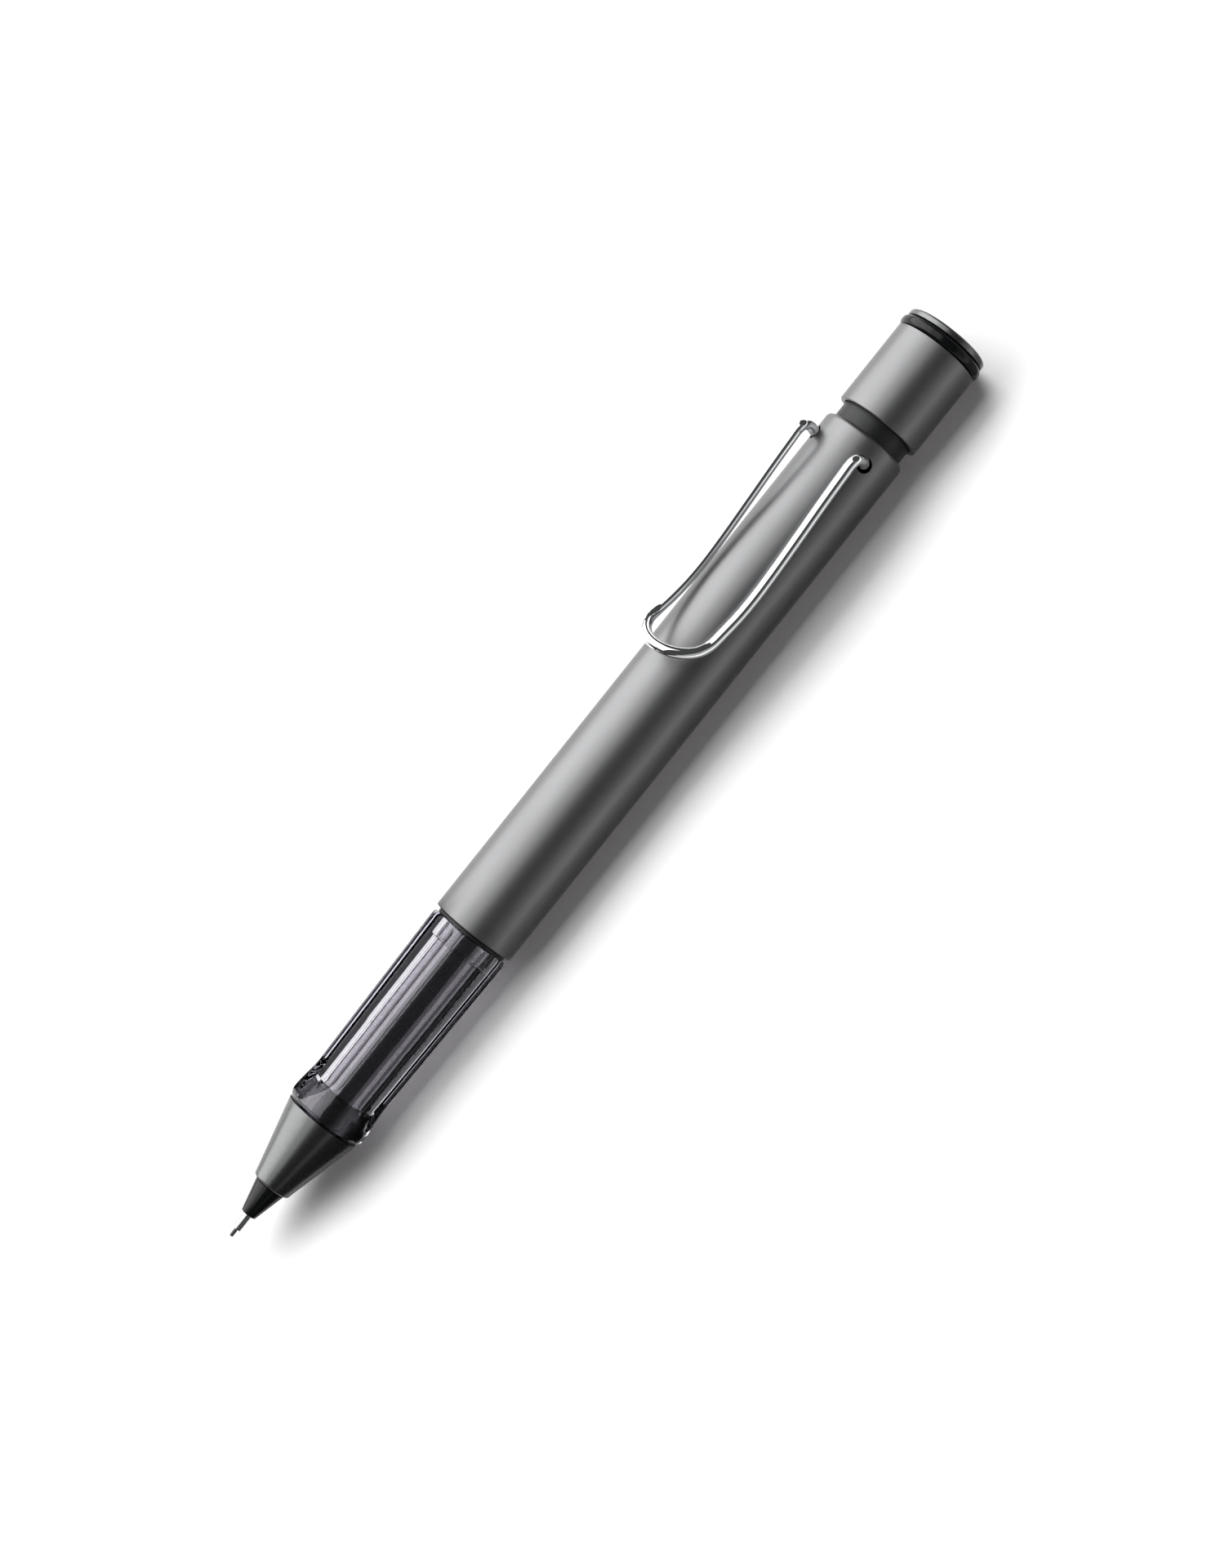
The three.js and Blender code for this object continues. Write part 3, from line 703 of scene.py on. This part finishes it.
# ---- clip ----
WIRE_RADIUS = 0.73
CLIP_HALF_WIDTH = 4.385
WIRE_END_RADIUS = 4.3
LOOP_STATION, LOOP_LENGTH, LOOP_HEIGHT, LOOP_RISE = 92.5, 3.85, 6.5, 3.1
LOOP_QUARTER_POINTS = 4
CLIP_LEG = [                 # (station, height above the axis) along each leg
    (120.9, 6.75), (120.0, 7.25), (118.4, 7.15), (114.5, 6.75), (109.5, 6.1),
    (104.0, 5.45), (100.5, 5.22), (97.8, 5.32), (95.0, 5.8),
]


def clip():
    """One bent wire: out of a hole, along a leg, round the raised loop and back."""
    def wire_point(station, across, height):
        return Vector((FRONT_X + station * MM, -across * MM, AXIS_Z + height * MM))

    half = [at(HOLE_STATION, radius, HOLE_ANGLE) for radius in (WIRE_END_RADIUS, 5.0)]
    half += [wire_point(HOLE_STATION, 4.22, 4.6), wire_point(HOLE_STATION, CLIP_HALF_WIDTH, 5.5)]
    half += [wire_point(station, CLIP_HALF_WIDTH, height) for station, height in CLIP_LEG]
    for k in range(LOOP_QUARTER_POINTS + 1):
        turn = math.radians(90 * k / LOOP_QUARTER_POINTS)
        half.append(wire_point(
            LOOP_STATION - LOOP_LENGTH * math.sin(turn),
            CLIP_HALF_WIDTH * math.cos(turn),
            LOOP_HEIGHT + LOOP_RISE * math.sin(turn) ** 1.3,
        ))
    other = [Vector((p.x, -p.y, p.z)) for p in reversed(half[:-1])]
    path = catmull_rom(half + other, 10)
    mesh = to_mesh("clip", swept(path, WIRE_RADIUS * MM, WIRE_SIDES))
    new_piece("clip_spring_wire", mesh, "clip", CHROME, "chrome", "clip_wire")


# ---- return spring ----
SPRING_TURNS, SPRING_RADIUS, SPRING_WIRE = 9, 1.78, 0.17
END_TURNS_SHARE = 0.25       # how much closer the turns lie at the ends


def return_spring():
    """Coil of the compression spring that the button presses, built at rest with a mesh of its own."""
    front, rear = span("return_spring")
    steps = SPRING_TURNS * 24
    path = []
    for k in range(steps + 1):
        share = k / steps
        advance = (1 - END_TURNS_SHARE) * share + END_TURNS_SHARE * smoothstep(share, 0, 1)
        along = lerp(front + SPRING_WIRE, rear - SPRING_WIRE, advance)
        path.append(at(along, SPRING_RADIUS, 360 * SPRING_TURNS * share))
    mesh = to_mesh("spring", swept(path, SPRING_WIRE * MM, SPRING_SIDES))
    piece = new_piece("spring_coil", mesh, "holder", STEEL, "steel", "return_spring")
    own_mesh(piece)


# ---- hidden mechanism, shown as packed ----
CARRIED = {
    "lead_retainer": RUBBER, "clutch_seat": BRASS, "clutch_ring": BRASS, "collet_jaw_1": BRASS,
    "collet_jaw_2": BRASS, "collet_jaw_3": BRASS, "collet_stem": BRASS, "connecting_bush": BLACK,
}


def carried_over():
    for node, material in CARRIED.items():
        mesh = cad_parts[node].data
        mesh.materials.clear()
        mesh.materials.append(material)


barrel()
neck()
coupler()
grip()
nose()
tip()
lead_pipe()
mechanism()
lead_stick("lead_stick", "lead", "feed_lead")
lead_stick("spare_stick_1", "spare_lead_1", "plunger")
lead_stick("spare_stick_2", "spare_lead_2", "plunger")
cap_sleeve()
cap_core()
cap_disc()
tank_parts()
eraser_parts()
clip()
return_spring()
carried_over()


# ---- floor, lights and camera ----
CAMERA_ANGLE = 28            # the camera looks from this angle round the axis
CAMERA_DISTANCE = 345
CAMERA_STATION = 72.4
CAMERA_SIDE = 2.0
PICTURE_TILT = 51.4          # the axis rises by this angle in the picture
PICTURE_HEIGHT = 192         # millimetres that the picture's long side takes in at the axis
SENSOR = 36
LIGHT_DISTANCE, LIGHT_LENGTH = 700, 1300
FLOOR_GAP = 0.23             # the floor lies this far under the barrel, just below the cap's bead


def outwards(angle):
    """Direction from the axis at an angle round it."""
    turn = math.radians(angle)
    return Vector((0, -math.sin(turn), math.cos(turn)))


def stage_floor():
    bm = bmesh.new()
    bmesh.ops.create_grid(bm, x_segments=2, y_segments=2, size=4.0)
    floor = bpy.data.objects.new("floor", to_mesh("floor", bm))
    bpy.context.scene.collection.objects.link(floor)
    floor.location.z = AXIS_Z - (BARREL_RADIUS + FLOOR_GAP) * MM
    n = Nodes("pale_floor")
    n.set(Roughness=0.9, Specular_IOR_Level=0.1)
    n.colours(n.noise((0.02, 0.02, 0.02), 2), (0.93, 0.93, 0.93), (0.95, 0.95, 0.95))
    n.set(Emission_Color=(1.0, 0.95, 0.98, 1), Emission_Strength=0.07)
    floor.data.materials.append(n.material)


def softbox(name, angle, width, radiance, lights_floor=False):
    """Soft light that faces the pencil from an angle round its axis.

    It either lights the floor and casts the shadow, or is what metal and plastic reflect."""
    data = bpy.data.lights.new(name, "AREA")
    data.shape = "RECTANGLE"
    data.size = LIGHT_LENGTH * MM
    data.size_y = width * MM
    data.energy = radiance * math.pi * LIGHT_LENGTH * width * MM * MM
    lamp = bpy.data.objects.new(name, data)
    bpy.context.scene.collection.objects.link(lamp)
    back = outwards(angle)
    across = Vector((1, 0, 0))
    place = at(CAMERA_STATION, 0) + back * LIGHT_DISTANCE * MM
    lamp.matrix_world = matrix_from(across, back.cross(across), back, place)
    lamp.visible_diffuse = lights_floor
    lamp.visible_glossy = not lights_floor
    lamp.visible_transmission = not lights_floor
    return lamp


def matrix_from(right, up, back, place):
    return Matrix((
        (right.x, up.x, back.x, place.x),
        (right.y, up.y, back.y, place.y),
        (right.z, up.z, back.z, place.z),
        (0, 0, 0, 1),
    ))


def painted_shade_card(name, stations, near, far, shade_of_grey, seen_by):
    """Dark sheet beside or under the pencil, from one (out, height) edge to another, that paints shade.

    Only reflections, or only the clear grip's refractions, see it."""
    low, high = at(stations[0], 0).x, at(stations[1], 0).x
    bm = bmesh.new()
    corners = []
    for x, (out, height) in ((low, near), (high, near), (high, far), (low, far)):
        corners.append(bm.verts.new((x, -out * MM, height * MM)))
    bm.faces.new(corners)
    piece = bpy.data.objects.new(name, to_mesh(name, bm))
    bpy.context.scene.collection.objects.link(piece)
    # Painted shade: the camera, diffuse light and shadows ignore the sheet, so it only darkens reflections
    # or refractions.
    piece.visible_camera = False
    piece.visible_diffuse = False
    piece.visible_shadow = False
    piece.visible_glossy = seen_by == "reflections"
    piece.visible_transmission = seen_by == "refractions"
    piece.data.materials.append(plastic(name, (shade_of_grey,) * 3, 1.0, gloss=0.0))


def world_light():
    world = bpy.data.worlds.new("studio")
    bpy.context.scene.world = world
    world.use_nodes = True
    background = world.node_tree.nodes["Background"]
    background.inputs["Color"].default_value = (1, 1, 1, 1)
    background.inputs["Strength"].default_value = 0.065


def camera():
    data = bpy.data.cameras.new("camera")
    data.sensor_width = SENSOR
    data.lens = SENSOR * CAMERA_DISTANCE / PICTURE_HEIGHT
    data.clip_start = 0.01
    data.clip_end = 20
    cam = bpy.data.objects.new("camera", data)
    bpy.context.scene.collection.objects.link(cam)
    back = outwards(CAMERA_ANGLE)
    along = Vector((1, 0, 0))
    aside = along.cross(back)
    tilt = math.radians(PICTURE_TILT)
    right = along * math.cos(tilt) + aside * math.sin(tilt)
    up = along * math.sin(tilt) - aside * math.cos(tilt)
    place = at(CAMERA_STATION, 0) + aside * CAMERA_SIDE * MM + back * CAMERA_DISTANCE * MM
    cam.matrix_world = matrix_from(right, up, back, place)
    bpy.context.scene.camera = cam


stage_floor()
softbox("key", -61, 600, 3.5)
softbox("upper", -26, 320, 3.1)
softbox("top", -2, 240, 1.55)
softbox("top_edge", 11.7, 100, 1.55).visible_transmission = False
softbox("overhead_main", -33, 375, 5.0, lights_floor=True)
softbox("overhead_fill", -10, 250, 2.4, lights_floor=True)
softbox("low", 84, 460, 0.36)
# Reflection-only grey sheet on the floor beside the barrel: painted shade in the floor that the barrel
# reflects.
painted_shade_card("painted_shade_barrel", (44, 230), (7, 0.3), (28, 0.3), 0.27, "reflections")
# Reflection-only near-black sheet beside the grip and nose: painted shade in their reflections of the
# floor.
painted_shade_card("painted_shade_front", (-90, 44), (7, 0.3), (45, 18), 0.03, "reflections")
# Reflection-only black sheet on the lit side of the grip: a painted dark reflection along the grip's edge.
painted_shade_card("painted_dark_reflection_left", (17, 46.5), (-14, 0.3), (-14, 20), 0.01, "reflections")
# Refraction-only dark sheet under the grip: painted shadow under the pencil, seen through the clear grip.
painted_shade_card("painted_shade_under", (14, 47.4), (-6.5, 0.1), (14, 0.1), 0.1, "refractions")
world_light()
camera()
bpy.context.scene.view_settings.view_transform = "Standard"
